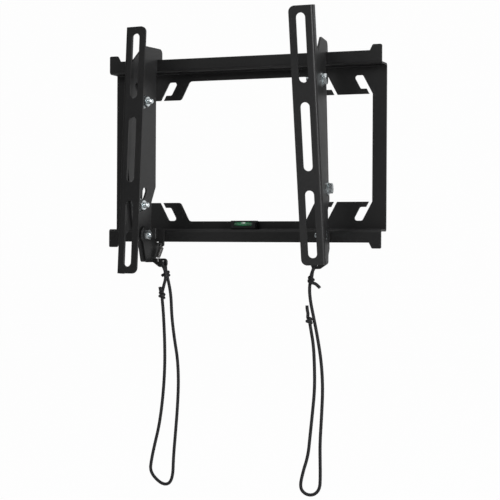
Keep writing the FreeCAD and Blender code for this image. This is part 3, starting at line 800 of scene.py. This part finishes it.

# %% [markdown]
# ## Latch springs
#
# Each latch is pulled shut by a small extension spring: close turns of wire with a loop at each end, hooked into a
# hole in the arm's stay and one in the latch's foot. The plain solid marks where its two loops are. Each end of
# the spring belongs to a different part, and the wound piece takes the place of the plain solid.

# %% Spring ends
SPRING_WIRE = 0.35 * MM
LOOP = 1.9 * MM
joints = {row["name"]: row for row in frame["joints"]}
tilt_axes = {side: Vector(joints[side + "_bracket_tilt"]["axis"]) for side in ("left", "right")}


def loop_centre(places, end):
    """The middle of the loop at the upper (1) or lower (-1) end of a spring's solid."""
    tip = max(place.z * end for place in places) * end
    centre_z = tip - end * (LOOP + SPRING_WIRE)
    cap = [place for place in places if (place.z - centre_z) * end > 0]
    middle = [(min(place[i] for place in cap) + max(place[i] for place in cap)) / 2 for i in (0, 1)]
    return Vector((*middle, centre_z))


spring_ends = {}
for side in tilt_axes:
    places = [vertex.co for vertex in nodes[side + "_latch_spring"].data.vertices]
    spring_ends[side] = loop_centre(places, 1), loop_centre(places, -1)
    print(side, "spring's loops at z", [round(end.z, 4) for end in spring_ends[side]])

# %% Springs
COIL_RADIUS = 1.95 * MM
WIRE_SIDES = 10
PITCH_IN_WIRES = 2.06
LOOP_TURNS = 0.94
UP = (0, 0, 1)
for side, (upper, lower) in spring_ends.items():
    top, bottom = upper - Vector(UP) * LOOP, lower + Vector(UP) * LOOP
    length = (top - bottom).length
    turns = length / (PITCH_IN_WIRES * SPRING_WIRE)
    wire = (SPRING_WIRE, WIRE_SIDES, finishes["spring_wire"])
    ring = wind(LOOP, 0.0, LOOP_TURNS, *wire)
    body = wind(COIL_RADIUS, length, turns, *wire)
    across = tilt_axes[side]
    spring = gather(side + "_latch_spring_wound", finishes["spring_wire"], [
        (body, stand(bottom, top - bottom, across)),
        (ring, stand(upper, across, UP)),
        (ring, stand(lower, across, UP)),
    ])
    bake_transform(spring)
    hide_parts(side + "_latch_spring")
    print(side, "spring turns", round(turns, 1), "length", round(length, 4))

# %% [markdown]
# ## Hexagons and threads
#
# Each bracket tilts on two hexagon bolts of 6 mm with flange nuts. What makes a hexagon look real
# is its chamfer: the corners are turned off by a cone, which leaves a curved line on each flat. So
# the skin is a set of rings, and the height of the upper ring falls with the distance of the corner
# from the axis. The threaded end that stands out of the nut is a turned core with a coil of four
# sides for its ridge.

# %% Rings and skins
AROUND = 72


def hexagon(flats):
    """How far a hexagon of that width across flats reaches from its axis, by angle."""
    def reach(angle):
        folded = (angle + math.radians(30)) % math.radians(60) - math.radians(30)
        return flats / 2 / math.cos(folded)
    return reach


def ring_of(reach, height):
    """One ring of points; reach and height are numbers or depend on the angle."""
    points = []
    for i in range(AROUND):
        angle = 2 * math.pi * i / AROUND
        distance = reach(angle) if callable(reach) else reach
        rise = height(angle) if callable(height) else height
        points.append((distance * math.cos(angle), distance * math.sin(angle), rise))
    return points


def skin(name, rings):
    """A closed mesh through rings of points, from the lowest up, capped at both ends."""
    faces = []
    for start in range(0, (len(rings) - 1) * AROUND, AROUND):
        for i in range(AROUND):
            j = (i + 1) % AROUND
            faces.append((start + i, start + j, start + AROUND + j, start + AROUND + i))
    faces.append(tuple(reversed(range(AROUND))))
    faces.append(tuple(range((len(rings) - 1) * AROUND, len(rings) * AROUND)))
    mesh = bpy.data.meshes.new(name)
    mesh.from_pydata([point for ring in rings for point in ring], [], faces)
    return mesh


print("rings have", AROUND, "points")

# %% Hexagons and threads
FACE_SHARE = 0.95
CONE_SLOPE = math.tan(math.radians(30))
EDGE = 0.3 * MM
THREAD_DEPTH = 0.4 * MM
THREAD_PITCH = 1.0 * MM
THREAD_TIP = 0.5 * MM
THREAD_RUN_OUT = 0.6 * MM
RIDGE = 0.45 * MM
RIDGE_SINK = 0.05 * MM
RIDGE_SIDES = 4


def chamfered(flats, top):
    """The upper rings of a hexagon whose corners are turned off by a cone."""
    reach = hexagon(flats)
    face_radius = flats / 2 * FACE_SHARE
    turned_off = ring_of(reach, lambda angle: top - (reach(angle) - face_radius) * CONE_SLOPE)
    return [turned_off, ring_of(face_radius, top)]


def plain_hexagon(name, flats, height):
    """A bolt's head or a plain nut: a small bevel below and the chamfer above."""
    foot = [ring_of(flats / 2 * FACE_SHARE, 0.0), ring_of(hexagon(flats), EDGE)]
    return skin(name, foot + chamfered(flats, height))


def threaded(radius, length):
    """The (core, ridge) meshes of a threaded end that stands on the origin."""
    root = radius - THREAD_DEPTH
    core = skin("thread_core", [ring_of(root, 0.0), ring_of(root, length - THREAD_TIP),
                                ring_of(root - THREAD_TIP, length)])
    climb = length - THREAD_RUN_OUT
    return core, wind(root - RIDGE_SINK, climb, climb / THREAD_PITCH, RIDGE, RIDGE_SIDES,
                      finishes["zinc"])


print("a chamfer falls by", round(CONE_SLOPE, 3), "of its reach")

# %% [markdown]
# ## Bolts and flange nuts
#
# The washers stay as they are: their middles mark the bolts, and the joint that tilts the bracket
# gives the bolts' direction. A head, a nut and a threaded end are made once. Their copies at one
# bolt all move with the bracket, so they are gathered in one piece.

# %% Bolt and nut
M6_FLATS = 10 * MM
BOLT_RADIUS, BOLT_END = 3 * MM, 5 * MM
HEAD_HEIGHT = 4 * MM
NUT_HEIGHT = 6 * MM
FLANGE = 7 * MM
RIM = 0.7 * MM
RIM_EDGE = 0.2 * MM
FLANGE_SLOPE = 0.55
wrench = hexagon(M6_FLATS)
head = plain_hexagon("bolt_head", M6_FLATS, HEAD_HEIGHT)
nut = skin("flange_nut", [
    ring_of(FLANGE - RIM_EDGE, 0.0), ring_of(FLANGE, RIM_EDGE), ring_of(FLANGE, RIM),
    ring_of(wrench, lambda angle: RIM + (FLANGE - wrench(angle)) * FLANGE_SLOPE),
] + chamfered(M6_FLATS, NUT_HEIGHT))
bolt_end = threaded(BOLT_RADIUS, BOLT_END)
print("faces of head, nut and ridge", [len(mesh.polygons) for mesh in (head, nut, bolt_end[1])])

# %% Place the bolts and nuts
WASHER_HALF = 0.6 * MM
NUT_SEAT = 5.1 * MM
NUT_TURNED = (0, 0.3, 1)
INWARDS = {"left": 1, "right": -1}
for side, sign in INWARDS.items():
    inwards = tilt_axes[side] * sign
    for level in ("upper", "lower"):
        stem = side + "_" + level + "_tilt_"
        low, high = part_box(stem + "washer")
        middle = (low + high) / 2
        seat = middle + inwards * NUT_SEAT
        tip = stand(seat + inwards * NUT_HEIGHT, inwards, UP)
        fastener = gather(stem + "fastener", finishes["zinc"], [
            (head, stand(middle - inwards * WASHER_HALF, -inwards, UP)),
            (nut, stand(seat, inwards, NUT_TURNED)),
            *((mesh, tip) for mesh in bolt_end),
        ])
        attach(fastener, side + "_bracket")
        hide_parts(stem + "bolt", stem + "nut")

# %% [markdown]
# ## Latch pivots
#
# Each latch turns on a stud that is riveted into the arm and carries a plain hexagon nut. The
# latch's own joint says where the stud is and which way it points, so the same hexagon rings and
# thread only need other sizes and places. The stud stays with the arm.

# %% Latch pivots
STUD_FLATS = 9 * MM
STUD_RADIUS, STUD_END = 2.5 * MM, 2 * MM
STUD_NUT_HEIGHT = 4.5 * MM
STUD_NUT_SEAT = 1.3 * MM
STUD_NUT_TURNED = (0, 0.2, 1)
RIVET_SEAT = 3.4 * MM
rivet_profile = ((4.5, 0.0), (4.5, 0.5), (3.9, 1.0), (2.6, 1.2))
stud_nut = plain_hexagon("stud_nut", STUD_FLATS, STUD_NUT_HEIGHT)
stud_end = threaded(STUD_RADIUS, STUD_END)
rivet = skin("rivet", [ring_of(radius * MM, height * MM) for radius, height in rivet_profile])
for side, sign in INWARDS.items():
    turn_joint = joints[side + "_latch_turn"]
    inwards = Vector(turn_joint["axis"]) * sign
    pivot = Vector(turn_joint["pos_m"])
    tip = stand(pivot + inwards * (STUD_NUT_SEAT + STUD_NUT_HEIGHT), inwards, UP)
    stud = gather(side + "_latch_stud", finishes["zinc"], [
        (stud_nut, stand(pivot + inwards * STUD_NUT_SEAT, inwards, STUD_NUT_TURNED)),
        *((mesh, tip) for mesh in stud_end),
        (rivet, stand(pivot - inwards * RIVET_SEAT, -inwards, UP)),
    ])
    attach(stud, side + "_arm")
    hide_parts(side + "_latch_pivot")

# %% [markdown]
# ## The bubble level
#
# The small level on the lower rail is a clear tube of green fluid in a black case. It has a bubble,
# set high and to the front in the tube so that it can be seen, and two black lines beside it.
# Fluid, bubble and lines are three pieces, because they have different finishes; painted shade darkens the fluid's
# colour towards the ends, where it goes into the case and the case shades it.

# %% Level finishes
CLEAR = {"Coat_Weight": 1.0, "Coat_Roughness": 0.03}
fluid_middle, fluid_shaded_end = (0.02, 0.30, 0.11, 1), (0.004, 0.075, 0.028, 1)
fluid = Finish("level_vial", Roughness=0.08, **CLEAR)
along_x = fluid.node("ShaderNodeSeparateXYZ", None, {0: fluid.place()})
off_middle = along_x.maths("ABSOLUTE", along_x)
# Painted shade: the colour darkens towards the ends of the tube, where the case shades it, and a little noise
# varies it at random.
painted_end_shade = off_middle.ramp(3 * MM, 10.5 * MM) + fluid.noise(3 * MM, 2.0) * 0.15
fluid.feed("Base Color", fluid.colours(painted_end_shade, fluid_middle, fluid_shaded_end))

air_dark, air_light = (0.45, 0.72, 0.55, 1), (0.80, 0.93, 0.84, 1)
air = Finish("level_bubble", **CLEAR)
gleam = air.noise(1.5 * MM, 1.0)
air.feed("Base Color", air.colours(gleam, air_dark, air_light))
air.feed("Roughness", gleam * 0.1 + 0.1)
print("level finishes", fluid.material.name, air.material.name)

# %% Level
low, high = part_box("level_vial")
vial_middle = (low + high) / 2
vial_radius = (high.z - low.z) / 2
vial_half = (high.x - low.x) / 2
BUBBLE_RADIUS, BUBBLE_HALF, BUBBLE_DEPTH = 1.7 * MM, 3.7 * MM, 1.4 * MM
HIGH_FRONT = Vector((0, -0.71, 0.71))
LINE_SHARE, LINE_SIDES = 0.965, 8
LINE_WIRE, LINE_OFFSET = 0.13 * MM, 4.4 * MM
tube_profile = ((0.75, -1.0), (0.96, -0.96), (0.96, 0.96), (0.75, 1.0))

tube = skin("tube", [ring_of(vial_radius * reach, vial_half * way) for reach, way in tube_profile])
bubble_rows = [math.radians(angle) for angle in range(-84, 85, 12)]
bubble = skin("bubble", [ring_of(BUBBLE_RADIUS * math.cos(row), BUBBLE_HALF * math.sin(row))
                         for row in bubble_rows])
line_ring = wind(vial_radius * LINE_SHARE, 0.0, 1.0, LINE_WIRE, LINE_SIDES, finishes["level_body"])


def lengthwise(place):
    """Lays a part drawn along Z along the rail."""
    return stand(place, (1, 0, 0), UP)


bubble_place = vial_middle + HIGH_FRONT * (vial_radius - BUBBLE_DEPTH)
level_pieces = [
    gather("level_fluid", fluid.material, [(tube, lengthwise(vial_middle))]),
    gather("level_bubble", air.material, [(bubble, lengthwise(bubble_place))]),
    gather("level_lines", finishes["level_body"], [
        (line_ring, lengthwise(vial_middle + Vector((offset, 0, 0))))
        for offset in (-LINE_OFFSET, LINE_OFFSET)]),
]
for piece, slot_name in zip(level_pieces, ("level_vial", "level_vial", "level_body")):
    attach(piece, "wall_plate")
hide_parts("level_vial")

# %% [markdown]
# ## Sizes and the end
#
# A finished model has to be as large as its solids. So the box of everything visible now is printed, as the box of
# the solids was at the start.

# %% Sizes
low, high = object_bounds()
print("visual box", [round(x, 4) for x in high - low])
